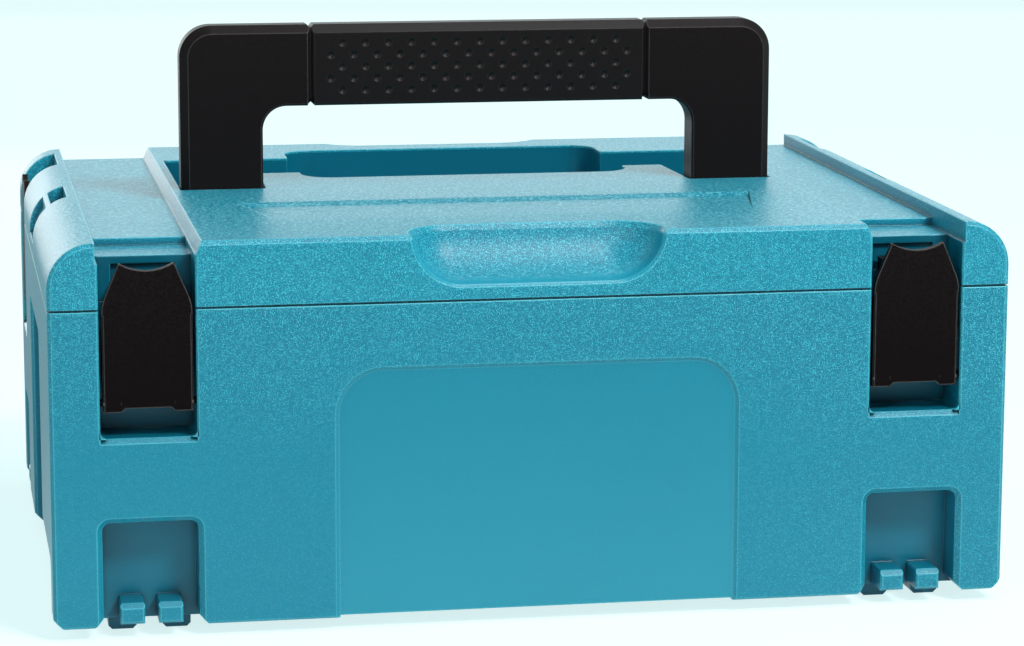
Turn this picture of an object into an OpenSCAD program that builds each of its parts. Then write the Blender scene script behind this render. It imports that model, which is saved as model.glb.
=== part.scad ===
// Hard tool case: a stacking case with a hinged lid, four latches and a folding handle.
// X runs to the right, Y to the rear and Z up. The origin is under the middle of the case,
// on the plane that its feet stand on.

/* [Case] */
// Width of the case, left to right
case_w = 396; // [380:1:420]
// Depth of the case, front to rear
case_d = 296; // [288:1:320]
// Height of the lid's platform above the ground
case_h = 161.7; // [150:0.1:220]
// Height of the lid, from its rim to its platform
lid_h = 26.7; // [25:0.1:32]
// Thickness of the moulded walls
wall = 3.25; // [2.75:0.25:3.5]
// Chamfer on the outer edges
edge_c = 1.5; // [0.8:0.1:2]
// Chamfer on the bottom corners
corner_c = 4; // [2:0.5:4.5]
// Height of the shadow groove at the joint between lid and base
seam_gap = 0.7; // [0.4:0.1:1]
// Depth of the shadow groove
seam_depth = 1; // [0.6:0.1:1.2]
// Height of the dust rib that stands up from the base's rim
rib_h = 3.5; // [2:0.5:4]
// Thickness of the dust rib
rib_t = 1; // [0.8:0.1:1.2]
// Gap between the dust rib and the lid
rib_gap = 0.3; // [0.2:0.05:0.4]

/* [Feet and floor] */
// Height of the feet below the walls
foot_h = 5; // [3:0.5:6]
// Length of each foot, front to rear
foot_l = 26; // [18:1:40]
// Width of each foot
foot_w = 11.5; // [8:0.5:13]
// Distance between the two feet of a pair, centre to centre
foot_pitch = 22; // [18:0.5:24]
// Distance of the feet's outer ends from the case's front and rear
foot_edge = 17; // [16.5:0.5:24]
// Height of the hollow under the floor
under_h = 5; // [3:0.5:8]
// Spacing of the ribs under the floor
under_pitch = 44; // [36:1:60]
// Thickness of the ribs under the floor
under_rib = 2; // [1.5:0.25:3]

/* [Lid top] */
// Distance of the raised platform from each side of the case
platform_edge = 61.5; // [61:0.5:65]
// How far the platform's side slopes outward
platform_slope = 2.4; // [1:0.1:3]
// Depth of the side channels below the platform
channel_depth = 5.3; // [3:0.1:6]
// Width of the side rails
rail_w = 19.2; // [18.6:0.2:21]
// Radius of the rails' outer edge
rail_r = 18.5; // [12:0.5:19]
// Distance of the step in the channels from the front
ledge_y = 48; // [40:1:60]
// Depth of the ledge below the channel floor
ledge_depth = 3.2; // [2:0.2:4]
// Width of the keeper recess under the lip
keeper_w = 26; // [20:1:30]
// Chamfer on the platform's front and rear edges
platform_c = 1.7; // [1:0.1:2.5]
// Width of the front scoop at its widest
scoop_w = 104; // [80:1:120]
// Width of the rear scoop at its widest
rear_scoop_w = 108; // [80:1:120]
// Depth of the front scoop, front to rear
scoop_d = 27; // [24:0.5:30]
// Depth of the rear scoop, front to rear
rear_scoop_d = 10; // [6:0.5:14]
// Radius of both scoops
scoop_r = 21; // [18:0.5:21]
// Width of the scoops' chamfered rims
scoop_rim = 1.2; // [0.6:0.1:1.6]
// Distance of the bare band in front of the handle from each side of the platform
band_edge = 24; // [12:1:50]
// Depth of the band at its rear step
band_depth = 1.4; // [0.8:0.1:1.8]
// Distance of the band's rear step from the case's middle
band_rear_y = 45; // [40:1:50]
// Distance of the band's front end from the case's front
band_start = 48; // [36:1:60]
// Length of the slot in each rail
slot_l = 34; // [20:1:44]
// Distance of the rail slots behind the case's middle
slot_y = 4; // [-6:1:10]

/* [Handle] */
// Width of the handle over its legs
handle_w = 265; // [250:1:266]
// Height of the handle's top above the platform, handle up
handle_rise = 71.6; // [60:0.1:74]
// Thickness of the handle, front to rear
handle_t = 16; // [14:0.5:16]
// Height of the grip bar
bar_h = 35.5; // [30:0.5:38]
// Width of each leg
leg_w = 36; // [30:0.5:36.5]
// Outer corner radius of the handle
handle_r = 14; // [10:0.5:18]
// Inner corner radius of the handle
handle_inner_r = 10.5; // [6:0.5:14]
// Chamfer on the handle's outer edges
handle_c = 3.5; // [1.5:0.1:4]
// Chamfer on the handle's inner edges
handle_inner_c = 0.8; // [0.4:0.1:1.5]
// Distance of the handle's pivot behind the case's middle
pivot_y = 8; // [6:0.5:10]
// Depth of the handle's pivot below the platform
pivot_drop = 10.5; // [9.5:0.5:10.5]
// Distance between the two V grooves
grip_l = 150; // [120:1:160]
// Half width and depth of the V grooves
groove_c = 1.5; // [1:0.1:2]
// Wall of the grip sleeve round the handle's core
grip_wall = 2.6; // [2:0.1:3]
// Spacing of the dimples along the grip
dimple_pitch = 10.2; // [8:0.2:12]
// Spacing of the rows of dimples
dimple_row = 5.2; // [4.5:0.1:6]
// Distance of the rows' middle below the middle of the bar
dimple_drop = 0.6; // [0:0.1:1]
// Number of rows of dimples
dimple_rows = 5; // [3:1:5]
// Radius of the ball that shapes each dimple
dimple_r = 2.2; // [1.6:0.1:3]
// Depth of each dimple
dimple_depth = 0.8; // [0.4:0.1:1.2]
// Radius of the handle's pins
handle_pin_r = 2.5; // [2:0.1:3]

/* [Handle recess] */
// Depth of the handle's recess below the platform
recess_depth = 19; // [18.5:0.5:20]
// Gap between the handle's sides and the recess
recess_gap = 0.5; // [0.3:0.1:1]
// Distance of the recess's rear edge behind the pivot, beyond the handle's reach
recess_rear = 7; // [4:0.5:10]
// Distance between the leg pockets, at the front
leg_gap_front = 191; // [186:1:192]
// Distance between the leg pockets, at the rear
leg_gap_rear = 186; // [180:1:188]
// Distance of the leg pockets' rear ends behind the case's middle
leg_pocket_y = 46; // [40:1:50]
// Width of the hand pocket
hand_w = 150; // [120:1:160]
// Distance of the hand pocket's front edge behind the case's middle
hand_front_y = 27; // [22:1:32]
// Distance of the hand pocket's rear edge behind the case's middle
hand_rear_y = 123; // [116:1:128]
// Corner radius of the hand pocket
hand_r = 14; // [8:1:20]

/* [Latches] */
// Distance of the front latches' middle from the case's sides
latch_edge = 39.5; // [38.5:0.1:40.5]
// Distance of the side latches' middle from the case's rear
latch_rear = 36; // [35:1:42]
// Width of a latch
latch_w = 36; // [32:0.5:37]
// Width of a latch pocket
pocket_w = 38.7; // [38.4:0.1:40]
// Depth of the front latch pockets
pocket_front_d = 22; // [18:0.5:24]
// Depth of the side latch pockets
pocket_side_d = 16; // [14:0.5:16.5]
// Depth of the latch pockets' bottom below the lid's rim
pocket_drop = 52.5; // [47:0.5:61]
// Height of a latch's pin above the pocket's bottom
pin_above = 14.5; // [11:0.5:18]
// Depth of a latch's pin behind the case's face
pin_depth = 4; // [3.9:0.1:4.4]
// Radius of a latch's pin
latch_pin_r = 1.5; // [1.2:0.1:2]
// How far a latch slides up
latch_lift = 18; // [12:1:20]
// Depth of a latch's face behind the case's face
latch_inset = 0.5; // [0.3:0.1:1]
// Thickness of a latch's plate
latch_t = 2.7; // [2.2:0.1:3.2]
// Height of a latch, from its legs to its horns
latch_h = 59.8; // [56:0.1:62]
// Height over which a latch's sides bend and slope to its horns
latch_shoulder = 20.5; // [14:0.5:24]
// Distance between a latch's horns
horn_gap = 21.2; // [16:0.2:26]
// Dip of the hollow between the horns
horn_dip = 2.9; // [2:0.1:5]
// Width of each leg at a latch's foot
latch_leg_w = 7.3; // [5:0.1:9]
// Depth of a latch's side flanges
flange_d = 8.5; // [7:0.5:10]
// Height of a latch's hook above the lid's rim
hook_up = 6; // [5:0.5:8]
// Distance of the cross ribs behind a latch from its pin and from its shoulders
latch_rib_gap = 13; // [10:0.5:16]

/* [Stacking pockets] */
// Width of a stacking pocket
stack_w = 38.7; // [38:0.1:40.5]
// Depth of a stacking pocket
stack_d = 16; // [14:0.5:16]
// Height of a stacking pocket's top above the ground
stack_top = 48; // [40:1:60]
// Chamfer round a stacking pocket
stack_c = 2.2; // [1:0.1:2.4]
// Chamfer on the posts beside a stacking pocket, at their feet
post_c = 3.5; // [2:0.5:6]
// Width of each prong
prong_w = 9.8; // [6:0.2:11]
// Distance between the two prongs, centre to centre
prong_pitch = 15.4; // [12:0.2:18]
// Height of each prong
prong_h = 8.5; // [6:0.5:10]
// Chamfer on the upright edges of each prong
prong_c = 0.7; // [0.4:0.1:1.5]

/* [Panels and side recesses] */
// Width of the recessed panel in the front and the rear
panel_w = 164; // [120:1:200]
// Depth of the panel's top below the lid's rim
panel_drop = 28; // [20:1:50]
// Corner radius of the panel
panel_r = 18; // [8:1:26]
// Depth of the panel
panel_depth = 1.2; // [0.8:0.1:1.6]
// Width of the panel's sloped border
panel_bevel = 1.7; // [1:0.1:2.5]
// Depth of the recesses in the sides
side_depth = 5; // [3:0.5:5.5]
// Length of the recess in the middle of each side
side_l = 92; // [70:1:100]
// Distance of that recess in front of the case's middle
side_y = 6; // [-6:1:8]
// Depth of that recess's top below the lid's rim
side_drop = 26; // [20:1:40]
// Height of the low notch in front of that recess
notch_top = 29; // [20:1:34]
// Distance of the low notch's front end from the case's front
notch_start = 18; // [16:1:28]

/* [Hinge] */
// Distance of each hinge from the case's middle
hinge_x = 82; // [60:1:110]
// Length of each hinge
hinge_l = 75; // [50:1:90]
// Radius of the hinge knuckles
knuckle_r = 3.2; // [2.8:0.1:3.4]
// Radius of the hinge rods
rod_r = 1.5; // [1.2:0.1:1.7]
// Height of the groove along the rear, under the lid
hinge_groove = 7; // [6:0.5:9]

/* [Clearances] */
// Running clearance round pins and rods
running = 0.06; // [0.04:0.01:0.09]
// Clearance round a pin that is fixed
snug = 0.02; // [0.01:0.01:0.03]
// Clearance between the latch pins and their slots
slot_gap = 0.15; // [0.1:0.05:0.25]
// Clearance between knuckles, and between a latch and the lid
side_gap = 0.4; // [0.3:0.1:0.6]

/* [Hidden] */
$fn = 48;

teal = "#1f93ad";
black = "#1d1a1b";
steel = "#b9bcc0";

eps = 0.05;
far = 400;
half_w = case_w / 2;
half_d = case_d / 2;
seam_z = case_h - lid_h;
channel_z = case_h - channel_depth;
ledge_z = channel_z - ledge_depth;
floor_z = foot_h + under_h;
cavity_z = floor_z + wall;
platform_x = half_w - platform_edge;
rail_x = half_w - rail_w;
latch_x = half_w - latch_edge;
latch_y = half_d - latch_rear;
foot_end_y = half_d - foot_edge;
notch_y = half_d - notch_start;
band_x = platform_x - band_edge;
band_front_y = half_d - band_start;
panel_top = seam_z - panel_drop;
side_top = seam_z - side_drop;

// The hinge's axis, and how far in front of it the groove in the base begins, so that the
// lid can open to 15 degrees beyond upright.
axis_y = half_d - knuckle_r - side_gap;
axis_z = seam_z;
hinge_back = 1.2;
knuckles = 5;

// The handle's top and pivot, its faces and what it sweeps.
handle_top = case_h + handle_rise;
pivot_z = case_h - pivot_drop;
handle_front_y = pivot_y - pivot_drop;
handle_rear_y = handle_front_y + handle_t;
bar_z = handle_top - bar_h;
leg_x = handle_w / 2 - leg_w;
leg_end_r = recess_depth - pivot_drop - recess_gap;
handle_reach_y = pivot_y + handle_top - pivot_z;
recess_z = case_h - recess_depth;
recess_x = handle_w / 2 + recess_gap;
recess_front_y = handle_front_y - recess_gap;
recess_rear_y = handle_reach_y + recess_rear;
pin_in = wall + 0.5;
pin_boss_r = handle_pin_r + wall;

// The latches: each one's pin, and the heights of its parts.
pocket_z = seam_z - pocket_drop;
pin_z = pocket_z + pin_above;
latch_z = pin_z - pin_depth + latch_inset - 0.1;
latch_top = latch_z + latch_h;
shoulder_z = latch_top - latch_shoulder;
latch_leg_r = pin_z - latch_z;
pin_socket = wall - 0.6;
hook_z = seam_z + hook_up;
hook_h = 4;
hook_w = 22;
LATCHES = [0, 1, 2, 3];

// ---- Plain helpers ----

// A box from its lowest to its highest corner.
module span(low, high) {
  translate(low) cube(high - low);
}

// An outline in X and Z, drawn out along Y.
module along_y(y0, y1) {
  translate([0, y1, 0]) rotate([90, 0, 0]) linear_extrude(y1 - y0) children();
}

// An outline in Y and Z, drawn out along X.
module along_x(x0, x1) {
  translate([x0, 0, 0]) rotate([90, 0, 90]) linear_extrude(x1 - x0) children();
}

// Both sides of the case.
module both_sides() {
  children();
  mirror([1, 0, 0]) children();
}

// A rectangle from its lowest to its highest corner.
module area(low, high) {
  translate(low) square(high - low);
}

// A rectangle with round corners, about the origin.
module rounded(w, h, r) {
  square([w - 2 * r, h], center = true);
  square([w, h - 2 * r], center = true);
  for (x = [-1, 1], y = [-1, 1])
    translate([x * (w / 2 - r), y * (h / 2 - r)]) circle(r);
}

// A rectangle with cut corners, about the origin.
module cut_rect(w, h, c) {
  x = w / 2;
  y = h / 2;
  polygon([
    [-x + c, -y], [x - c, -y], [x, -y + c], [x, y - c],
    [x - c, y], [-x + c, y], [-x, y - c], [-x, -y + c]
  ]);
}

// A rounded plate that grows by g on every side over its thickness t.
module flare(w, h, r, g, t) {
  x = w / 2 - r;
  y = h / 2 - r;
  for (i = [-1, 1], j = [-1, 1])
    translate([i * x, j * y, 0]) cylinder(h = t, r1 = r, r2 = r + g);
  along_x(-x, x) polygon([[-h / 2, 0], [h / 2, 0], [h / 2 + g, t], [-h / 2 - g, t]]);
  along_y(-y, y) polygon([[-w / 2, 0], [w / 2, 0], [w / 2 + g, t], [-w / 2 - g, t]]);
}

// A plate with half-round ends, centred x either side, that goes from radius r1 to r2.
module stadium(x, r1, r2, t) {
  for (s = [-1, 1]) translate([s * x, 0, 0]) cylinder(h = t, r1 = r1, r2 = r2);
  along_x(-x, x) polygon([[-r1, 0], [r1, 0], [r2, t], [-r2, t]]);
}

// A rounded plate with chamfered faces.
module chamfered(w, h, r, t, c) {
  flare(w - 2 * c, h - 2 * c, r - c, c, c);
  translate([0, 0, c]) linear_extrude(t - 2 * c) rounded(w, h, r);
  translate([0, 0, t - c]) flare(w, h, r, -c, c);
}

// Cuts a pocket into a face at y = 0 that looks towards -Y, from x, z low to high.
module pocket(low, high, r, d, c) {
  w = high[0] - low[0];
  h = high[1] - low[1];
  translate([(low[0] + high[0]) / 2, 0, (low[1] + high[1]) / 2]) {
    translate([0, d, 0]) rotate([90, 0, 0]) linear_extrude(d + eps) rounded(w, h, r);
    translate([0, c, 0]) rotate([90, 0, 0]) flare(w, h, r, c + eps, c + eps);
  }
}

// Cuts a chamfer c along an edge that runs along X at y = 0, z = 0 and looks to -Y and +Z.
module edge_cut(x0, x1, c) {
  along_x(x0, x1) polygon([[-eps, -c - eps], [-eps, eps], [c + eps, eps]]);
}

// Places a latch's things: x along the case's face, y into the case, z up.
module at_latch(i) {
  if (i < 2) translate([(2 * i - 1) * latch_x, -half_d, 0]) children();
  else translate([(2 * i - 5) * half_w, latch_y, 0]) rotate([0, 0, (2 * i - 5) * 90]) children();
}

function pocket_d(i) = i < 2 ? pocket_front_d : pocket_side_d;

// Where knuckle k of a hinge begins, seen from the case's middle.
function knuckle_x(k) = hinge_x - hinge_l / 2 + k * hinge_l / knuckles;

// ---- What the base and the lid share ----

// The hollow's outline from above, grown by g on every side. Walls stay round every pocket.
module hollow_outline(g, high) {
  core_x = half_w - stack_d - wall;
  front_y = -half_d + pocket_front_d + wall;
  rear_y = axis_y - knuckle_r - side_gap - wall / 2;
  side_x = half_w - side_depth - wall;
  wide_x = high ? half_w - wall : side_x;
  middle_x = latch_x - stack_w / 2 - wall;
  corner_x = latch_x + stack_w / 2 + wall + 1;
  side_end_y = latch_y - stack_w / 2 - wall;
  recess_end_y = -side_y + side_l / 2 + wall;
  recess_start_y = -side_y - side_l / 2 - wall;
  area([-core_x - g, front_y - g], [core_x + g, rear_y + g]);
  area([-middle_x - g, -half_d + wall - g], [middle_x + g, front_y + g]);
  both_sides() {
    area([core_x - g, front_y - g], [side_x + g, side_end_y + g]);
    area([core_x - g, front_y - g], [wide_x + g, recess_start_y + g]);
    area([core_x - g, recess_end_y - g], [wide_x + g, side_end_y + g]);
    area([corner_x - g, -half_d + wall - g], [half_w - wall + g, -notch_y - wall + g]);
    area([corner_x - g, -notch_y - wall - g], [side_x + g, front_y + g]);
  }
}

// The knuckles of the base (part 0) or the lid (part 1), grown by g.
module knuckle_row(part, g) {
  both_sides() for (k = [part:2:knuckles - 1])
    translate([knuckle_x(k) + side_gap / 2 - g, axis_y, axis_z]) rotate([0, 90, 0])
      cylinder(h = hinge_l / knuckles - side_gap + 2 * g, r = knuckle_r + g);
}

// Room in the lid for the base's knuckles, open to the rear.
module knuckle_room() {
  knuckle_row(0, side_gap);
  both_sides() for (k = [0:2:knuckles - 1])
    span([knuckle_x(k) - side_gap / 2, axis_y, axis_z - 1],
         [knuckle_x(k + 1) + side_gap / 2, far, axis_z + knuckle_r + side_gap]);
}

// The bore for the hinge rods.
module rod_bore(r) {
  both_sides() translate([knuckle_x(0) - eps, axis_y, axis_z]) rotate([0, 90, 0])
    cylinder(h = hinge_l + 2 * eps, r = r);
}

// A latch pocket in the base and the lid: open at its top, with a sloped sill.
module latch_pocket(d) {
  sill_c = 2;
  side_c = 0.7;
  translate([0, 0, pocket_z]) {
    along_y(-eps, d) {
      translate([0, far / 2]) rounded(pocket_w, far, 3);
    }
    along_x(-pocket_w / 2, pocket_w / 2)
      polygon([[-eps, -sill_c - eps], [sill_c + eps, eps], [-eps, eps]]);
    for (s = [-1, 1]) linear_extrude(far)
      polygon([
        [s * (pocket_w / 2 - eps), -eps], [s * (pocket_w / 2 + side_c + eps), -eps],
        [s * (pocket_w / 2 - eps), side_c + eps]
      ]);
  }
}

// ---- Base ----

// The base before anything is cut into it.
module base_block() {
  difference() {
    translate([0, 0, foot_h]) linear_extrude(seam_z - foot_h) cut_rect(case_w, case_d, edge_c);
    // Chamfers along the bottom edges
    for (s = [-1, 1]) {
      along_x(-half_w - 1, half_w + 1)
        polygon([
          [s * (half_d + eps), foot_h - eps], [s * (half_d + eps), foot_h + edge_c / 2],
          [s * (half_d - edge_c / 2 - eps), foot_h - eps]
        ]);
      along_y(-half_d - 1, half_d + 1)
        polygon([
          [s * (half_w + eps), foot_h - eps], [s * (half_w + eps), foot_h + corner_c],
          [s * (half_w - corner_c - eps), foot_h - eps]
        ]);
    }
    // Shadow groove under the lid
    translate([0, 0, seam_z - seam_gap]) linear_extrude(far) difference() {
      square([far * 2, far * 2], center = true);
      cut_rect(case_w - 2 * seam_depth, case_d - 2 * seam_depth, edge_c);
    }
    // Groove along the rear, where the lid's edge swings down
    span([-far, axis_y - hinge_back, seam_z - hinge_groove], [far, far, far]);
  }
}

// The inside of the tub.
module base_hollow() {
  low_top = max(notch_top, foot_h) + wall;
  translate([0, 0, cavity_z]) linear_extrude(far) hollow_outline(0, false);
  translate([0, 0, low_top]) linear_extrude(far) hollow_outline(0, true);
}

// The shallow hollow under the floor, with its grid of ribs left standing.
module under_hollow() {
  x = half_w - stack_d - wall - 1;
  front_y = -half_d + stack_d + wall;
  rear_y = half_d - 2 * wall;
  difference() {
    span([-x, front_y, -far], [x, rear_y, floor_z]);
    for (n = [-floor(x / under_pitch):floor(x / under_pitch)])
      span([n * under_pitch - under_rib / 2, -far, foot_h + 0.5],
           [n * under_pitch + under_rib / 2, far, far]);
    for (n = [-floor(half_d / under_pitch):floor(half_d / under_pitch)])
      span([-far, n * under_pitch - under_rib / 2, foot_h + 0.5],
           [far, n * under_pitch + under_rib / 2, far]);
  }
}

// One foot, cut off at its lower edges, from its outer end inwards along +Y.
module foot() {
  c = 1.5;
  along_y(0, foot_l)
    polygon([
      [-foot_w / 2, floor_z + eps], [-foot_w / 2, c], [-foot_w / 2 + c, 0],
      [foot_w / 2 - c, 0], [foot_w / 2, c], [foot_w / 2, floor_z + eps]
    ]);
}

// Four pairs of feet, in line with the lid's channels.
module feet() {
  for (sx = [-1, 1], sy = [-1, 1], n = [-1, 1])
    translate([sx * latch_x + n * foot_pitch / 2, sy * foot_end_y, 0])
      mirror([0, (sy + 1) / 2, 0]) foot();
}

// A stacking pocket, open at the bottom between two chamfered posts.
module stack_pocket() {
  x = stack_w / 2;
  c = post_c;
  pocket([-x, -far], [x, stack_top], 3.5, stack_d, stack_c);
  along_y(-eps, stack_d)
    polygon([[-x - c - eps, foot_h - eps], [x + c + eps, foot_h - eps], [0, foot_h + x + c]]);
}

// The two prongs in a stacking pocket.
module prongs() {
  c = 1;
  x = prong_w / 2;
  d = stack_d + eps;
  h = prong_h;
  side = prong_c;
  for (s = [-1, 1])
    translate([s * prong_pitch / 2, 0, foot_h + 1]) intersection() {
      along_x(-x - 1, x + 1)
        polygon([
          [latch_inset, c], [latch_inset + c, 0], [d, 0], [d, h],
          [latch_inset + 2 * c, h], [latch_inset, h - 2 * c]
        ]);
      // The upright edges of its face, and the side edges of its top
      translate([0, 0, -1]) linear_extrude(h + 2)
        polygon([
          [-x, d + 1], [-x, latch_inset + side], [-x + side + 1, latch_inset - 1],
          [x - side - 1, latch_inset - 1], [x, latch_inset + side], [x, d + 1]
        ]);
      along_y(0, d + 1)
        polygon([
          [-x - 1, -1], [x + 1, -1], [x + 1, h - side - 1], [x - side - 1, h + 1],
          [-x + side + 1, h + 1], [-x - 1, h - side - 1]
        ]);
    }
}

// The shallow panel in the front; the rear has the same.
module panel_cut() {
  grow = panel_bevel + eps * panel_bevel / panel_depth;
  r = panel_r;
  h = panel_top + far;
  translate([0, panel_depth, panel_top - h / 2]) rotate([90, 0, 0])
    flare(panel_w, h, r, grow, panel_depth + eps);
  span([-panel_w / 2, -eps, 0], [panel_w / 2, 3 * wall, foot_h + 1]);
}

// The recess and the low notch in one side, cut from x = half_w inwards.
module side_cut() {
  front = -side_y - side_l / 2;
  rear = -side_y + side_l / 2;
  c = 1.2;
  translate([half_w, 0, 0]) rotate([0, 0, 90]) {
    pocket([front, -far], [rear, side_top], 3, side_depth, c);
    pocket([-notch_y, -far], [front + far / 10, notch_top], 3, side_depth, c);
  }
}

module base_shell() color(teal) {
  difference() {
    union() {
      difference() {
        base_block();
        base_hollow();
        under_hollow();
        translate([0, -half_d, 0]) panel_cut();
        translate([0, half_d, 0]) rotate([0, 0, 180]) panel_cut();
        both_sides() side_cut();
        for (i = LATCHES) at_latch(i) {
          latch_pocket(pocket_d(i));
          stack_pocket();
        }
      }
      // Dust rib on the rim
      difference() {
        translate([0, 0, seam_z - eps]) linear_extrude(rib_h + eps) difference() {
          hollow_outline(rib_t, true);
          hollow_outline(0, true);
        }
        knuckle_row(1, side_gap);
      }
      feet();
      for (i = LATCHES) at_latch(i) prongs();
      knuckle_row(0, 0);
    }
    knuckle_row(1, side_gap);
    rod_bore(rod_r + snug);
    // Slots in which the latch pins rise
    for (i = LATCHES) at_latch(i) {
      x = pocket_w / 2 + pin_socket;
      r = latch_pin_r + slot_gap;
      translate([0, pin_depth, 0]) {
        for (z = [pin_z, pin_z + latch_lift])
          translate([-x, 0, z]) rotate([0, 90, 0]) cylinder(h = 2 * x, r = r);
        span([-x, -r, pin_z], [x, r, pin_z + latch_lift]);
      }
    }
  }
}

// ---- Lid ----

// The lid's outline seen from the front.
module lid_section() {
  rail_c = half_w - rail_r;
  difference() {
    union() {
      area([-half_w, seam_z], [half_w, channel_z]);
      polygon([
        [-platform_x - platform_slope, channel_z - eps], [-platform_x, case_h],
        [platform_x, case_h], [platform_x + platform_slope, channel_z - eps]
      ]);
      both_sides() area([rail_x, seam_z], [half_w, case_h]);
    }
    both_sides() difference() {
      area([rail_c, case_h - rail_r], [half_w + 1, case_h + 1]);
      translate([rail_c, case_h - rail_r]) circle(rail_r, $fn = 96);
    }
  }
}

// The lid before anything is cut into it, its front and rear edges chamfered.
module lid_block() {
  rail_c = half_w - rail_r;
  difference() {
    intersection() {
      along_y(-half_d, half_d) lid_section();
      translate([0, 0, seam_z]) linear_extrude(lid_h + 1) cut_rect(case_w, case_d, edge_c);
    }
    for (turn = [0, 180]) rotate([0, 0, turn]) {
      translate([0, -half_d, case_h])
        edge_cut(-platform_x - platform_slope, platform_x + platform_slope, platform_c);
      both_sides() translate([rail_c, -half_d - eps, case_h - rail_r]) rotate([-90, 0, 0])
        difference() {
          translate([0, -rail_r - 1, 0]) cube([rail_r + 1, rail_r + 1, edge_c + eps]);
          cylinder(h = edge_c + 2 * eps, r1 = rail_r - edge_c - eps, r2 = rail_r + eps, $fn = 96);
        }
    }
  }
}

// The handle's recess from above, grown by g on every side.
module recess_outline(g) {
  front = leg_gap_front / 2 - g;
  rear = leg_gap_rear / 2 - g;
  difference() {
    area([-recess_x - g, recess_front_y - g], [recess_x + g, recess_rear_y + g]);
    polygon([
      [-front, -far], [front, -far], [front, recess_front_y], [rear, leg_pocket_y - g],
      [-rear, leg_pocket_y - g], [-front, recess_front_y]
    ]);
  }
  translate([0, (hand_front_y + hand_rear_y) / 2])
    rounded(hand_w + 2 * g, hand_rear_y - hand_front_y + 2 * g, hand_r + g);
}

// A finger scoop in the lid's front edge: w wide and reaching d in from the face, grown by g.
module scoop(w, d, g) {
  x = w / 2 - scoop_r;
  translate([0, -half_d + d - scoop_r, case_h]) {
    for (s = [-1, 1]) translate([s * x, 0, 0]) sphere(scoop_r + g, $fn = 96);
    translate([-x, 0, 0]) rotate([0, 90, 0]) cylinder(h = 2 * x, r = scoop_r + g, $fn = 96);
  }
}

// A chamfered rim round a scoop's mouth: it grows by g from radius r over its depth t.
module scoop_mouth(x, r, g, t) {
  lead = 0.5;
  slope = g / t;
  translate([0, 0, -t - lead]) stadium(x, r - slope * lead, r + g + slope * eps, t + lead + eps);
}

// The same scoop with its rims, on the face and on top.
module rimmed_scoop(w, d) {
  x = w / 2 - scoop_r;
  c = scoop_rim;
  scoop(w, d, 0);
  translate([0, -half_d, case_h]) rotate([90, 0, 0])
    scoop_mouth(x, sqrt(pow(scoop_r, 2) - pow(d - scoop_r - c, 2)), c, c);
  translate([0, -half_d + d - scoop_r, case_h])
    scoop_mouth(x, sqrt(pow(scoop_r, 2) - pow(2 * c, 2)), c, 2 * c);
}

// The wedge-shaped band in front of the handle.
module band_cut() {
  step = 6;
  taper = 12;
  intersection() {
    along_x(-band_x, band_x)
      polygon([
        [-band_rear_y, case_h + eps], [-band_rear_y - step, case_h - band_depth],
        [-band_front_y, case_h + eps]
      ]);
    linear_extrude(far)
      polygon([
        [-band_x, -band_rear_y], [band_x, -band_rear_y],
        [band_x - taper, -band_front_y], [-band_x + taper, -band_front_y]
      ]);
  }
}

// The slot in one rail: a square window on top, a bridge, and a slot down the round edge.
module rail_slot() {
  window_x = rail_x + 4.2;
  window_w = 7;
  bridge = 2;
  slot_depth = 3;
  slot_low = case_h - rail_r - 2;
  y0 = slot_y - slot_l / 2;
  y1 = slot_y + slot_l / 2;
  window_z = channel_z - wall;
  span([window_x, y0, window_z], [window_x + window_w, y1, case_h + 1]);
  intersection() {
    translate([half_w - rail_r, y1, case_h - rail_r]) rotate([90, 0, 0]) linear_extrude(y1 - y0)
      difference() {
        union() {
          circle(rail_r + 2, $fn = 96);
          area([0, -far], [rail_r + 2, 0]);
        }
        circle(rail_r - slot_depth, $fn = 96);
        area([-1, -far], [rail_r - slot_depth, 0]);
      }
    span([window_x + window_w + bridge, -far, slot_low], [far, far, far]);
  }
}

// The inside of the lid.
module lid_hollow() {
  top = case_h - wall;
  rail_wall = 4;
  difference() {
    union() {
      translate([0, 0, seam_z - eps]) linear_extrude(ledge_z - wall - seam_z + eps)
        intersection() {
          hollow_outline(0, true);
          square([2 * (half_w - wall - rail_wall), 2 * half_d], center = true);
        }
      translate([0, 0, seam_z]) linear_extrude(top - seam_z) intersection() {
        hollow_outline(0, true);
        square([2 * (platform_x - wall), 2 * half_d], center = true);
      }
    }
    translate([0, 0, recess_z - wall]) linear_extrude(far) recess_outline(wall);
    scoop(scoop_w, scoop_d, wall);
    rotate([0, 0, 180]) scoop(rear_scoop_w, rear_scoop_d, wall);
    // Bosses round the ends of the handle's pins
    both_sides() for (x = [leg_gap_front / 2 - 2 * wall, recess_x])
      translate([x, pivot_y, pivot_z]) rotate([0, 90, 0]) cylinder(h = 2 * wall, r = pin_boss_r);
  }
  // Room for the base's dust rib
  translate([0, 0, seam_z - eps]) linear_extrude(rib_h + rib_gap + eps)
    hollow_outline(rib_t + rib_gap, true);
}

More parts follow.
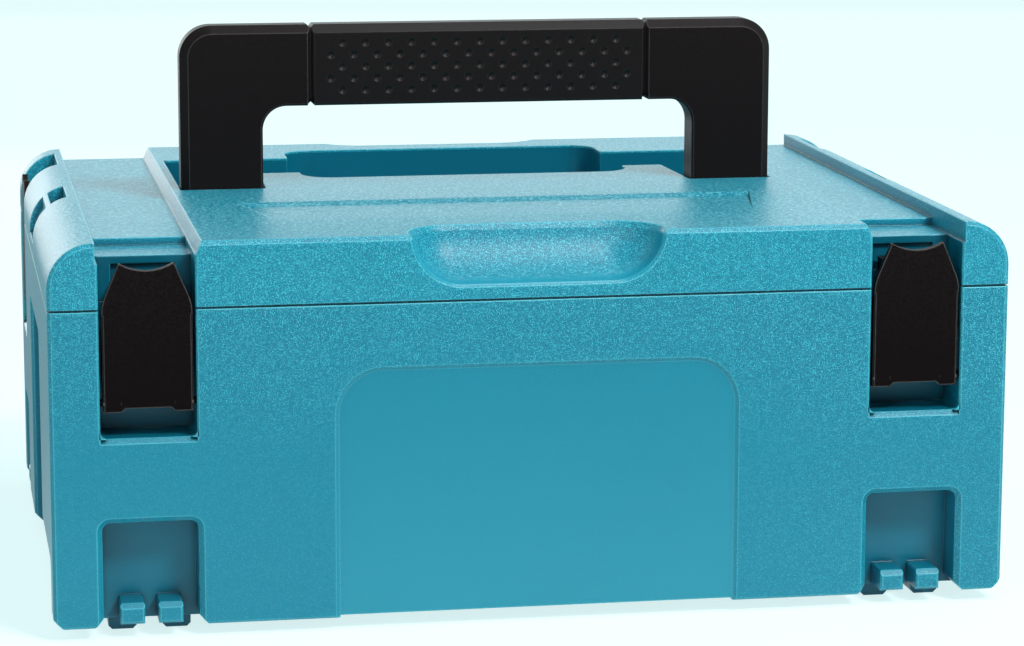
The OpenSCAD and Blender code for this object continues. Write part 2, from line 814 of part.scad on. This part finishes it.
module lid_shell() color(teal) {
  difference() {
    union() {
      difference() {
        lid_block();
        lid_hollow();
      }
      knuckle_row(1, 0);
    }
    translate([0, 0, recess_z]) linear_extrude(far) recess_outline(0);
    rimmed_scoop(scoop_w, scoop_d);
    rotate([0, 0, 180]) rimmed_scoop(rear_scoop_w, rear_scoop_d);
    band_cut();
    both_sides() rail_slot();
    for (i = LATCHES) at_latch(i) latch_pocket(pocket_d(i));
    // Ledges behind the front latches, each with a keeper recess under its lip
    both_sides() {
      span([latch_x - pocket_w / 2, -far, ledge_z], [rail_x, -half_d + ledge_y, far]);
      span([latch_x - keeper_w / 2, -half_d, hook_z - 2],
           [latch_x + keeper_w / 2, -half_d + pocket_front_d + wall / 2, ledge_z - wall]);
    }
    knuckle_room();
    rod_bore(rod_r + running);
    // Holes for the handle's pins
    both_sides() translate([leg_gap_front / 2 - pin_in, pivot_y, pivot_z]) rotate([0, 90, 0])
      cylinder(h = recess_x - leg_gap_front / 2 + 2 * pin_in, r = handle_pin_r + snug);
  }
}

// ---- Hinge rods ----

module hinge_rod() color(steel)
  translate([knuckle_x(0), axis_y, axis_z]) rotate([0, 90, 0]) cylinder(h = hinge_l, r = rod_r);

module hinge_rod_left() mirror([1, 0, 0]) hinge_rod();

module hinge_rod_right() hinge_rod();

// ---- Handle ----

// A leg seen from the side: round at its pivot, so that it turns above the recess's floor.
module leg_profile() {
  translate([pivot_y, pivot_z]) {
    intersection() {
      circle(leg_end_r);
      area([-far, -far], [handle_t - pivot_drop, far]);
    }
    intersection() {
      circle(pivot_drop);
      area([-far, -leg_end_r / 2], [0, 1]);
    }
    area([-pivot_drop, 0], [handle_t - pivot_drop, far]);
  }
}

// The whole handle before it is divided into its shells and its grip.
module handle_blank() {
  low = pivot_z - 3 * handle_r;
  w = handle_w - 2 * leg_w;
  intersection() {
    difference() {
      translate([0, handle_rear_y, (low + handle_top) / 2]) rotate([90, 0, 0])
        chamfered(handle_w, handle_top - low, handle_r, handle_t, handle_c);
      translate([0, handle_rear_y, (low + bar_z) / 2 - handle_r]) rotate([90, 0, 0]) {
        h = bar_z - low + 2 * handle_r;
        linear_extrude(handle_t) rounded(w, h, handle_inner_r);
        translate([0, 0, handle_t - handle_inner_c])
          flare(w, h, handle_inner_r, handle_inner_c + eps, handle_inner_c + eps);
        mirror([0, 0, 1]) translate([0, 0, -handle_inner_c])
          flare(w, h, handle_inner_r, handle_inner_c + eps, handle_inner_c + eps);
      }
    }
    along_x(-far, far) leg_profile();
  }
}

// The V groove where the grip meets one of the handle's shoulders.
module groove() {
  c = groove_c;
  difference() {
    span([grip_l / 2 - c, handle_front_y - 1, bar_z - 1],
         [grip_l / 2 + c, handle_rear_y + 1, handle_top + 1]);
    for (m = [0, 1]) translate([grip_l / 2, handle_front_y + handle_t / 2, bar_z + bar_h / 2])
      mirror([m, 0, 0]) rotate([0, 90, 0])
        flare(bar_h - 2 * c, handle_t - 2 * c, handle_c - c + 0.3, c + eps, c + eps);
  }
}

// The core that the grip sits on.
module grip_core(x) {
  span([-x, handle_front_y + grip_wall, bar_z + grip_wall],
       [x, handle_rear_y - grip_wall, handle_top - grip_wall]);
}

// Both shells together, without the grip.
module handle_frame() {
  inset = 6.5;
  y0 = handle_front_y + grip_wall + wall;
  y1 = handle_rear_y - grip_wall - 1.5;
  x1 = handle_w / 2 - inset;
  difference() {
    union() {
      difference() {
        handle_blank();
        span([-grip_l / 2, -far, bar_z - 1], [grip_l / 2, far, far]);
      }
      grip_core(grip_l / 2 + eps);
    }
    both_sides() groove();
    // The hollow inside
    span([-x1, y0, bar_z + inset], [x1, y1, handle_top - inset]);
    both_sides() span([leg_x + inset, y0, pivot_z + 2 * inset], [x1, y1, handle_top - inset]);
    // The bores for the pins
    both_sides() translate([leg_x - 1, pivot_y, pivot_z]) rotate([0, 90, 0])
      cylinder(h = leg_w + 2, r = handle_pin_r + running);
  }
}

module handle_front() color(black)
  intersection() {
    handle_frame();
    span([-far, -far, 0], [far, pivot_y, far]);
  }

module handle_rear() color(black)
  intersection() {
    handle_frame();
    span([-far, pivot_y, 0], [far, far, far]);
  }

module handle_grip() color(black)
  difference() {
    intersection() {
      handle_blank();
      span([-grip_l / 2, -far, bar_z - 1], [grip_l / 2, far, far]);
    }
    grip_core(far);
    both_sides() groove();
    // Rows of dimples on both faces, every second row shifted by half a step
    for (row = [0:dimple_rows - 1], face = [0, 1]) {
      shifted = row % 2;
      count = floor((grip_l - dimple_pitch) / dimple_pitch) + shifted;
      z = (bar_z + handle_top) / 2 - dimple_drop + (row - (dimple_rows - 1) / 2) * dimple_row;
      for (n = [0:count - 1])
        translate([
          (n - (count - 1) / 2) * dimple_pitch,
          face == 0 ? handle_front_y - dimple_r + dimple_depth
                    : handle_rear_y + dimple_r - dimple_depth,
          z
        ]) sphere(dimple_r, $fn = 24);
    }
  }

module handle_pin() color(steel)
  translate([leg_gap_front / 2 - pin_in + snug, pivot_y, pivot_z]) rotate([0, 90, 0])
    cylinder(h = recess_x - leg_gap_front / 2 + 2 * (pin_in - snug), r = handle_pin_r);

module handle_pin_left() mirror([1, 0, 0]) handle_pin();

module handle_pin_right() handle_pin();

// ---- Latches ----

// A latch's outline seen from the front, with its feet at z = 0.
module latch_outline() {
  x = latch_w / 2;
  horn = horn_gap / 2;
  s = latch_h - latch_shoulder;
  mid = 1.5;
  leg = latch_leg_w;
  // The sides bend inwards by this angle on this radius, then run straight to the horns
  lean = 22;
  bend_r = 20;
  bend = [for (a = [0:lean / 4:lean]) [x - bend_r * (1 - cos(a)), s + bend_r * sin(a)]];
  dip_r = (horn * horn + horn_dip * horn_dip) / (2 * horn_dip);
  difference() {
    union() for (m = [0, 1]) mirror([m, 0, 0])
      polygon(concat(
        [[-eps, mid], [x - leg - mid, mid], [x - leg, 0], [x, 0]], bend,
        [[horn + 0.4, latch_h], [-eps, latch_h]]
      ));
    translate([0, latch_h - horn_dip + dip_r]) circle(dip_r, $fn = 96);
  }
}

// One latch with its hook reaching to depth d.
module latch(d) {
  x = latch_w / 2;
  y0 = latch_inset;
  y1 = y0 + latch_t;
  c = 0.7;
  difference() {
    union() {
      translate([0, 0, latch_z]) along_y(y0, y1) latch_outline();
      // Side flanges, sloped at the top
      for (s = [-1, 1]) translate([s * (x - 1.2), 0, 0])
        along_x(-1.2, 1.2)
          polygon([
            [y1 - eps, pin_z], [y1 + flange_d, pin_z], [y1 + flange_d, shoulder_z - flange_d],
            [y1 - eps, shoulder_z - 1]
          ]);
      // Legs round the pin
      for (s = [-1, 1]) translate([s * (x - latch_leg_w / 2), 0, 0])
        along_x(-latch_leg_w / 2, latch_leg_w / 2) {
          translate([pin_depth, pin_z]) circle(latch_leg_r);
          area([y0, pin_z], [y1 + flange_d, pin_z + 2 * latch_leg_r]);
        }
      // The hook that reaches to the lid, with a tooth at its end
      span([-hook_w / 2, y1 - eps, hook_z], [hook_w / 2, d - side_gap, hook_z + hook_h]);
      span([-hook_w / 2, d - side_gap - 3, hook_z - 3], [hook_w / 2, d - side_gap, hook_z + eps]);
      // Cross ribs behind the plate
      for (z = [shoulder_z - latch_rib_gap, pin_z + latch_rib_gap])
        span([-x + 1, y1 - eps, z], [x - 1, y1 + flange_d / 2, z + 2]);
    }
    // Chamfers down both sides of the face
    for (s = [0, 1]) mirror([s, 0, 0]) translate([x, y0, 0]) linear_extrude(shoulder_z)
      polygon([[-c, -eps], [eps, -eps], [eps, c]]);
    // The pin's bore
    translate([-far / 2, pin_depth, pin_z]) rotate([0, 90, 0])
      cylinder(h = far, r = latch_pin_r + running);
  }
}

module latch_pin() {
  x = pocket_w / 2 + pin_socket - slot_gap;
  translate([-x, pin_depth, pin_z]) rotate([0, 90, 0]) cylinder(h = 2 * x, r = latch_pin_r);
}

module latch_front_left() color(black) at_latch(0) latch(pocket_d(0));

module latch_front_right() color(black) at_latch(1) latch(pocket_d(1));

module latch_side_left() color(black) at_latch(2) latch(pocket_d(2));

module latch_side_right() color(black) at_latch(3) latch(pocket_d(3));

module latch_pin_front_left() color(black) at_latch(0) latch_pin();

module latch_pin_front_right() color(black) at_latch(1) latch_pin();

module latch_pin_side_left() color(black) at_latch(2) latch_pin();

module latch_pin_side_right() color(black) at_latch(3) latch_pin();

base_shell();
lid_shell();
hinge_rod_left();
hinge_rod_right();
handle_front();
handle_rear();
handle_grip();
handle_pin_left();
handle_pin_right();
latch_front_left();
latch_front_right();
latch_side_left();
latch_side_right();
latch_pin_front_left();
latch_pin_front_right();
latch_pin_side_left();
latch_pin_side_right();
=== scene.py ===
"""The hard tool case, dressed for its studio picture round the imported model."""

import bpy
from mathutils import Matrix, Vector

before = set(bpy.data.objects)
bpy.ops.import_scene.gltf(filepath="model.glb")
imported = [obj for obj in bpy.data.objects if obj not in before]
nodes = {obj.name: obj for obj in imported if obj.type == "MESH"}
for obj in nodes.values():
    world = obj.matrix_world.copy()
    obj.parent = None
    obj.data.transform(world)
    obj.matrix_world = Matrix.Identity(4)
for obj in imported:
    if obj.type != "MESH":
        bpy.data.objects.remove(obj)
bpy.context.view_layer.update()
scene = bpy.context.scene


# ---- Camera ----
# A long lens about ten degrees above the case and ten degrees round to its left. Its place and
# turn were fitted to the straight edges in the photograph.

lens = bpy.data.cameras.new("product_camera")
lens.sensor_fit = "HORIZONTAL"
lens.sensor_width = 36
lens.lens = 118.761
lens.clip_start = 0.05
lens.clip_end = 60
camera = bpy.data.objects.new("product_camera", lens)
scene.collection.objects.link(camera)
camera_right = Vector((0.98434382, -0.17624724, 0.00203704))
camera_down = Vector((-0.02959071, -0.17663561, -0.98383141))
camera_forward = Vector((0.17375739, 0.96836809, -0.17908546))
camera_place = Vector((-0.248932, -1.471402, 0.369748))
camera.matrix_world = Matrix((
    (camera_right.x, -camera_down.x, -camera_forward.x, camera_place.x),
    (camera_right.y, -camera_down.y, -camera_forward.y, camera_place.y),
    (camera_right.z, -camera_down.z, -camera_forward.z, camera_place.z),
    (0, 0, 0, 1),
))
scene.camera = camera


# ---- Lamps ----
# Softboxes round the case: a key high on the right, a weak one on the left, one overhead, and a
# strip in front that shines in the finger scoop. Two behind turn the tops and the left side
# pale, as these are seen along their surface.

def softbox(name, place, aim, width, height, watts, diffuse=True):
    light = bpy.data.lights.new(name, "AREA")
    light.shape = "RECTANGLE"
    light.size = width
    light.size_y = height
    light.energy = watts
    lamp = bpy.data.objects.new(name, light)
    lamp.location = place
    lamp.rotation_euler = (Vector(aim) - Vector(place)).to_track_quat("-Z", "Y").to_euler()
    lamp.visible_camera = False
    lamp.visible_diffuse = diffuse
    scene.collection.objects.link(lamp)


case_middle = (0, 0, 0.1)
lid_top = (0, 0, 0.16)
left_side = (-0.19, 0, 0.08)
softbox("key_box", (1.0, -1.5, 1.95), case_middle, width=0.7, height=0.5, watts=44)
softbox(
    "bowl_box", (-0.4, -2.2, 1.35), case_middle, width=1.1, height=0.25, watts=14, diffuse=False
)
softbox("left_box", (-1.9, -1.7, 1.0), case_middle, width=0.9, height=0.9, watts=8)
softbox("top_box", (0.35, -0.42, 1.9), case_middle, width=0.6, height=0.4, watts=7)
softbox("rear_box", (0.3, 2.6, 0.65), lid_top, width=3.4, height=1.0, watts=5.5)
softbox("rear_left_box", (-0.55, 1.3, 0.3), left_side, width=0.5, height=0.6, watts=2)


# ---- Studio walls ----
# The room round the sweep, very pale blue, and at its brightest to the camera. It lights the
# case more from behind than from the front, where the room is dark.

# Its light, like every finish below, is written as sums on sockets. A Wire is one socket with
# Python's operators, and a Finish is one material, whose nodes all come from its node method.
class Wire:
    """One output of a shader node. Sums on it add Math nodes."""

    def __init__(self, finish, socket):
        self.finish = finish
        self.socket = socket

    def math(self, operation, *others):
        values = dict(enumerate((self, *others)))
        return self.finish.node("ShaderNodeMath", {"operation": operation}, values)

    def __add__(self, other):
        return self.math("ADD", other)

    def __sub__(self, other):
        return self.math("SUBTRACT", other)

    def __rsub__(self, other):
        return self.finish.node("ShaderNodeMath", {"operation": "SUBTRACT"}, {0: other, 1: self})

    def __mul__(self, other):
        return self.math("MULTIPLY", other)

    def __gt__(self, other):
        return self.math("GREATER_THAN", other)

    def __lt__(self, other):
        return self.math("LESS_THAN", other)

    def __abs__(self):
        return self.math("ABSOLUTE")

    def within(self, low, high):
        return (self > low) * (self < high)

    def either(self, other):
        return self.math("MAXIMUM", other)

    __radd__ = __add__
    __rmul__ = __mul__


class Finish:
    """A material. Its node method sets a node's settings first and then its sockets."""

    def __init__(self, name, owner=None, shader="Principled BSDF"):
        self.material = owner or bpy.data.materials.new(name)
        self.material.use_nodes = True
        self.tree = self.material.node_tree
        self.shader = self.tree.nodes[shader]

    def node(self, kind, settings=None, sockets=None, output=0):
        made = self.tree.nodes.new(kind)
        for key, value in (settings or {}).items():
            setattr(made, key, value)
        self.feed(made, sockets or {})
        return Wire(self, made.outputs[output])

    def feed(self, made, sockets):
        for key, value in sockets.items():
            if isinstance(value, Wire):
                self.tree.links.new(value.socket, made.inputs[key])
            else:
                made.inputs[key].default_value = value

    def surface(self, **sockets):
        self.feed(self.shader, {key.replace("_", " "): value for key, value in sockets.items()})

    def parts(self, vector):
        made = self.node("ShaderNodeSeparateXYZ", {}, {0: vector}).socket.node
        return [Wire(self, made.outputs[n]) for n in range(3)]

    def rays(self):
        """Masks of what is seen by the camera, mirrored in gloss, or seen through clear parts."""
        made = self.node("ShaderNodeLightPath").socket.node
        kinds = ("Is Camera Ray", "Is Glossy Ray", "Is Transmission Ray")
        return [Wire(self, made.outputs[kind]) for kind in kinds]

    def axes(self):
        """The object's own coordinates, in metres, as x, y, z and the whole vector."""
        place = self.node("ShaderNodeTexCoord", output="Object")
        return (*self.parts(place), place)

    def ramp(self, value, start, end, low=0.0, high=1.0):
        """value, where start gives low and end gives high, and no more than these outside."""
        return self.node("ShaderNodeMapRange", {}, {0: value, 1: start, 2: end, 3: low, 4: high})

    def mix(self, factor, low, high):
        return self.node(
            "ShaderNodeMix", {"data_type": "RGBA"}, {0: factor, 6: low, 7: high}, output=2
        )


world = bpy.data.worlds.new("studio_air")
scene.world = world
air = Finish("studio_air", world, "Background")
backward = air.parts(air.node("ShaderNodeTexCoord", output="Generated"))[1]
seen, mirrored, through = air.rays()
room = air.ramp(backward, -0.3, 0.5, low=0.25, high=0.55)
reflection = air.ramp(backward, -0.2, 0.5, low=0.08, high=1.0)
strength = room + mirrored * (reflection - room)
strength = strength + seen.either(through) * (1 - strength)
air.feed(air.shader, {"Color": (0.87, 1, 1, 1), "Strength": strength})


# ---- Sweep ----
# A wide sheet of pale matt paper that the case stands on. It keeps the case's shadow, and its
# glow is mirrored in the case only from behind, as the front of the room is dark.

reach = 8
sweep = bpy.data.meshes.new("sweep")
sweep.from_pydata(
    [(-reach, -reach, 0), (reach, -reach, 0), (reach, reach, 0), (-reach, reach, 0)],
    [], [(0, 1, 2, 3)],
)
floor = bpy.data.objects.new("sweep", sweep)
scene.collection.objects.link(floor)

paper_white = (0.86, 0.97, 0.97, 1)
paper_seen = (0.3, 0.34, 0.34, 1)
paper_mirrored = (0.1, 0.12, 0.12, 1)
paper_glow = (0.66, 0.82, 0.82, 1)
no_glow = (0, 0, 0, 1)

paper = Finish("pale_paper")
x, y, z, place = paper.axes()
seen, mirrored, through = paper.rays()
seen = seen.either(through)
behind = paper.ramp(y, -0.75, -0.2) * paper.ramp(y, -0.1, 0.3, low=1.0, high=0.5)
paper.surface(
    Base_Color=paper.mix(mirrored, paper.mix(seen, paper_white, paper_seen), paper_mirrored),
    Emission_Color=paper.mix(seen + mirrored * behind, no_glow, paper_glow),
    Emission_Strength=1,
    Roughness=0.9,
    Specular_IOR_Level=0,
)
floor.data.materials.append(paper.material)


# ---- Base ----
# The tub, injection moulded in teal plastic in one piece. The mould gives its outside a fine
# grain, and leaves the front panel and the pockets smoother. Painted light lies on it: sparkle on
# the grain, strongest high up and to the right and calmer low down, a pale glow of the floor low
# on the panel, highlights on the outer edges, and shade in the pockets, inner corners and seam.

teal = (0.002, 0.25, 0.365, 1)
# Painted light: sparkle on the grain, highlights on the outer edges, the floor's glow on the
# panel.
teal_highlight = (0.1, 0.67, 0.8, 1)
# Painted glints on the grain of the tops.
teal_top_glint = (0.35, 0.78, 0.85, 1)
# The grain's random tone and dark flecks, and painted shade in the pockets and the grain's pits.
teal_deep = (0.001, 0.16, 0.25, 1)
# Painted shade in the seam and in inner corners.
teal_shade = (0.0, 0.04, 0.065, 1)

# The outside lies beyond the two skins, and the pockets and the inside lie nearer the middle.
skin_x = 0.1915
skin_y = 0.1455
panel_half_width = 0.0846
panel_top = 0.1092
panel_face = 0.1474
tub_seam = 0.1348


def noise(finish, place, lumps, detail):
    """Cloudy values round a half, with this many lumps to the metre."""
    sockets = {"Vector": place, "Scale": lumps, "Detail": detail}
    return finish.node("ShaderNodeTexNoise", {}, sockets)


def soft_edges(finish, radius):
    """The normal with its edges rounded, and masks for painted highlights on the outer edges and
    painted shade in the inner corners.
    """
    rounded = finish.node("ShaderNodeBevel", {"samples": 6}, {"Radius": radius})
    flat = finish.node("ShaderNodeNewGeometry", output="Normal")
    turn = finish.node(
        "ShaderNodeVectorMath", {"operation": "DOT_PRODUCT"}, {0: rounded, 1: flat},
        output="Value",
    )
    open_air = finish.node(
        "ShaderNodeAmbientOcclusion", {"samples": 4, "only_local": True},
        {"Distance": radius * 3}, output="AO",
    )
    edge_highlight = finish.ramp(turn, 0.995, 0.88) * finish.ramp(open_air, 0.8, 0.95)
    corner_shade = finish.ramp(open_air, 0.9, 0.45)
    return rounded, edge_highlight, corner_shade


def grained_teal(shell, colour, smooth_and_shaded, recess_shade, panel, calm, seam):
    """Teal plastic with painted light: sparkle on its grain, highlights on its outer edges, and
    shade where it is smooth, in inner corners and in the seam. The masks say where its grain is
    finer.
    """
    x, y, z, place = shell.axes()
    upward = shell.parts(shell.node("ShaderNodeTexCoord", output="Normal"))[2]
    facing_up = shell.ramp(upward, 0.8, 0.97)
    upright = shell.ramp(abs(upward), 0.6, 0.3)
    coarse = (1 - smooth_and_shaded) * (1 - panel * 0.85) * calm

    pebbles = noise(shell, place, lumps=2500, detail=1)
    hollows = noise(shell, place, lumps=1300, detail=1)
    grain = pebbles * 0.7 + hollows * 0.3
    # Painted sparkle: highlights on the grain's peaks and shade in its hollows.
    glints = shell.ramp(grain, 0.53, 0.63) * coarse
    pit_shade = shell.ramp(grain, 0.53, 0.39) * coarse
    # On the tops, pale flecks painted as glints on the grain, among darker flecks of the grain.
    flecks = noise(shell, place, lumps=700, detail=2)
    glint_flecks = shell.ramp(flecks, 0.5, 0.7)
    deep_flecks = shell.ramp(flecks, 0.5, 0.34)
    clouds = shell.ramp(noise(shell, place, lumps=7, detail=3), 0.3, 0.7, low=0.0, high=0.16)
    # Painted light low on the panel, for the floor's glow mirrored there.
    floor_light_low_down = shell.ramp(z, 0.1, 0.01, low=0.02, high=0.13)
    rounded, edge_highlight, corner_shade = soft_edges(shell, 0.001)
    tops = facing_up * coarse * 0.55
    # Painted shade in the seam's gap and in inner corners.
    seam_and_corner_shade = (seam * upright).either(corner_shade * 0.8)

    # Painted shade deepens the smooth recesses and pockets, over the random clouds of tone.
    paint = shell.mix(clouds + smooth_and_shaded * recess_shade, colour, teal_deep)
    paint = shell.mix(panel * floor_light_low_down, paint, teal_highlight)
    paint = shell.mix(pit_shade * 0.9, paint, teal_deep)
    paint = shell.mix(glints * 0.95, paint, teal_highlight)
    paint = shell.mix(tops * glint_flecks, paint, teal_top_glint)
    paint = shell.mix(tops * deep_flecks, paint, teal_deep)
    # Painted highlights on the outer edges, weaker where smooth.
    paint = shell.mix(edge_highlight * (1 - smooth_and_shaded * 0.7), paint, teal_highlight)
    paint = shell.mix(seam_and_corner_shade, paint, teal_shade)
    bump = shell.node(
        "ShaderNodeBump", {},
        {"Strength": 0.4, "Distance": 0.0004, "Height": grain * coarse, "Normal": rounded},
    )
    shell.surface(
        Base_Color=paint,
        Roughness=0.3 + 0.07 * coarse,
        Normal=bump,
        Specular_IOR_Level=0.5,
    )


tub = Finish("grained_teal_base")
x, y, z, place = tub.axes()
behind_skin = (abs(y) < skin_y) * (abs(x) < skin_x)
panel = (abs(x) < panel_half_width) * (z < panel_top) * (abs(y) < panel_face)
# Painted sparkle, and the grain with it, strongest high up and to the right, calmer low down.
patches = (noise(tub, place, lumps=14, detail=1) - 0.5) * 0.6
upper_part = tub.ramp(z, 0.07, 0.135) + tub.ramp(x, 0.06, 0.13, low=0.0, high=0.4)
grain_and_sparkle = tub.node(
    "ShaderNodeMapRange", {"interpolation_type": "SMOOTHSTEP"},
    {0: upper_part + patches, 1: -0.1, 2: 1.1, 3: 0.22, 4: 0.98},
)
grained_teal(
    tub, teal, smooth_and_shaded=behind_skin, recess_shade=0.6, panel=panel, calm=grain_and_sparkle,
    seam=z > tub_seam,
)
nodes["base_shell"].data.materials[0] = tub.material


# ---- Lid ----
# The lid, moulded in the same plastic, a shade lighter. Its handle recess and the insides of the
# latch pockets are smooth, and painted deeper in colour for the shade in them. Its grain and the
# sparkle painted on it are calmer in the channels, at the rear and in the low part of the scoop.

teal_lid = (0.002, 0.305, 0.44, 1)

recess_half_width = 0.134
recess_y = (-0.004, 0.124)
recess_top = 0.1605
pocket_x = (0.1385, 0.1785)
pocket_y = (-0.1462, -0.1)
pocket_top = 0.153
channel_x = (0.1375, 0.1785)
channel_top = 0.159
scoop_half_width = 0.054
scoop_y = (-0.1475, -0.118)
scoop_top = 0.1608
lid_seam = 0.1353

cover = Finish("grained_teal_lid")
x, y, z, place = cover.axes()
recess = (z < recess_top) * (abs(x) < recess_half_width) * y.within(*recess_y)
pocket = (z < pocket_top) * abs(x).within(*pocket_x) * y.within(*pocket_y)
channel = abs(x).within(*channel_x) * (z < channel_top)
rear = cover.ramp(y, -0.06, 0.0)
scoop = (abs(x) < scoop_half_width) * y.within(*scoop_y) * (z < scoop_top)
scoop_low = scoop * cover.ramp(y, -0.131, -0.139)
# Calmer grain and painted sparkle in the channels, at the rear and low in the scoop.
grain_and_sparkle = 1 - (channel.either(rear) * 0.25).either(scoop_low * 0.85)
grained_teal(
    cover, teal_lid, smooth_and_shaded=recess.either(pocket), recess_shade=1.0, panel=0.0, calm=grain_and_sparkle,
    seam=z < lid_seam,
)
nodes["lid_shell"].data.materials[0] = cover.material


# ---- Hinge rods and handle pins ----
# Drawn steel wire, cut to length and pressed into the moulded knuckles and bosses. Drawing
# leaves fine marks on it, brighter and duller.

steel_dull = (0.42, 0.43, 0.45, 1)
steel_bright = (0.62, 0.63, 0.65, 1)

wire = Finish("drawn_steel")
x, y, z, place = wire.axes()
draw_marks = noise(wire, place, lumps=900, detail=2)
wire.surface(
    Base_Color=wire.mix(draw_marks, steel_dull, steel_bright),
    Metallic=1,
    Roughness=0.22 + draw_marks * 0.2,
)
for name in nodes:
    if name.startswith(("hinge_rod", "handle_pin")):
        nodes[name].data.materials[0] = wire.material


# ---- Handle ----
# Two shells of satin black plastic, closed round the pins at the feet of the legs and round the
# sleeve in the middle. Their top is a little paler, and their edges carry painted highlights.

# Painted highlight colour for the outer edges.
highlight_black = (0.13, 0.12, 0.12, 1)


def satin_black(name, dark, light, paler_top, paler_from, lumps, gloss, edge_shine):
    """Black plastic, paler from the given height up, with painted highlights on its outer edges,
    of the given strength, and painted shade in its inner corners.
    """
    skin = Finish(name)
    x, y, z, place = skin.axes()
    grain = noise(skin, place, lumps, detail=3)
    rounded, edge_highlight, corner_shade = soft_edges(skin, 0.0008)
    # Paler from the given height up; on the latches this is painted light caught at the top.
    top_paling = skin.ramp(z, paler_from, paler_from + 0.05) * skin.ramp(grain, 0.35, 0.7)
    body = skin.mix(top_paling, skin.mix(grain, dark, light), paler_top)
    # Painted shade in inner corners.
    body = skin.mix(corner_shade * 0.7, body, dark)
    bump = skin.node(
        "ShaderNodeBump", {},
        {"Strength": 0.25, "Distance": 0.0001, "Height": grain, "Normal": rounded},
    )
    skin.surface(
        # Painted highlights on the outer edges.
        Base_Color=skin.mix(edge_highlight * edge_shine, body, highlight_black),
        Roughness=0.36 + grain * 0.12,
        Normal=bump,
        Specular_IOR_Level=gloss,
    )
    return skin.material


handle_black = satin_black(
    "satin_handle_black",
    dark=(0.0075, 0.0052, 0.0054, 1),
    light=(0.0115, 0.0083, 0.0088, 1),
    paler_top=(0.014, 0.0105, 0.011, 1), paler_from=0.19,
    lumps=1500, gloss=0.12, edge_shine=0.8,
)
for name in ("handle_front", "handle_rear"):
    nodes[name].data.materials[0] = handle_black


# ---- Grip sleeve ----
# A softer black sleeve, held between the handle's shells. Its rows of dimples keep it from
# slipping in the hand, and it shines a little more than the shells.

sleeve_light = (0.0105, 0.0074, 0.0076, 1)
# Its edges carry only a weak painted highlight.
sleeve_black = satin_black(
    "soft_sleeve_black",
    dark=(0.0065, 0.0044, 0.0044, 1),
    light=sleeve_light,
    paler_top=sleeve_light, paler_from=0.2,
    lumps=2200, gloss=0.23, edge_shine=0.25,
)
nodes["handle_grip"].data.materials[0] = sleeve_black


# ---- Latches and latch pins ----
# Four black latches, each snapped over its pin in a pocket of the base. They are the dullest
# black on the case, painted a little paler towards the top for the light they catch there, and
# with painted highlights on their edges.

latch_black = satin_black(
    "satin_latch_black",
    dark=(0.004, 0.0024, 0.0026, 1),
    light=(0.0085, 0.0062, 0.0066, 1),
    paler_top=(0.013, 0.0102, 0.0106, 1), paler_from=0.098,
    lumps=1800, gloss=0.05, edge_shine=1.0,
)
for name in nodes:
    if name.startswith("latch_"):
        nodes[name].data.materials[0] = latch_black


# ---- Close ----
# The picture's colours are left plain.

scene.view_settings.view_transform = "Standard"
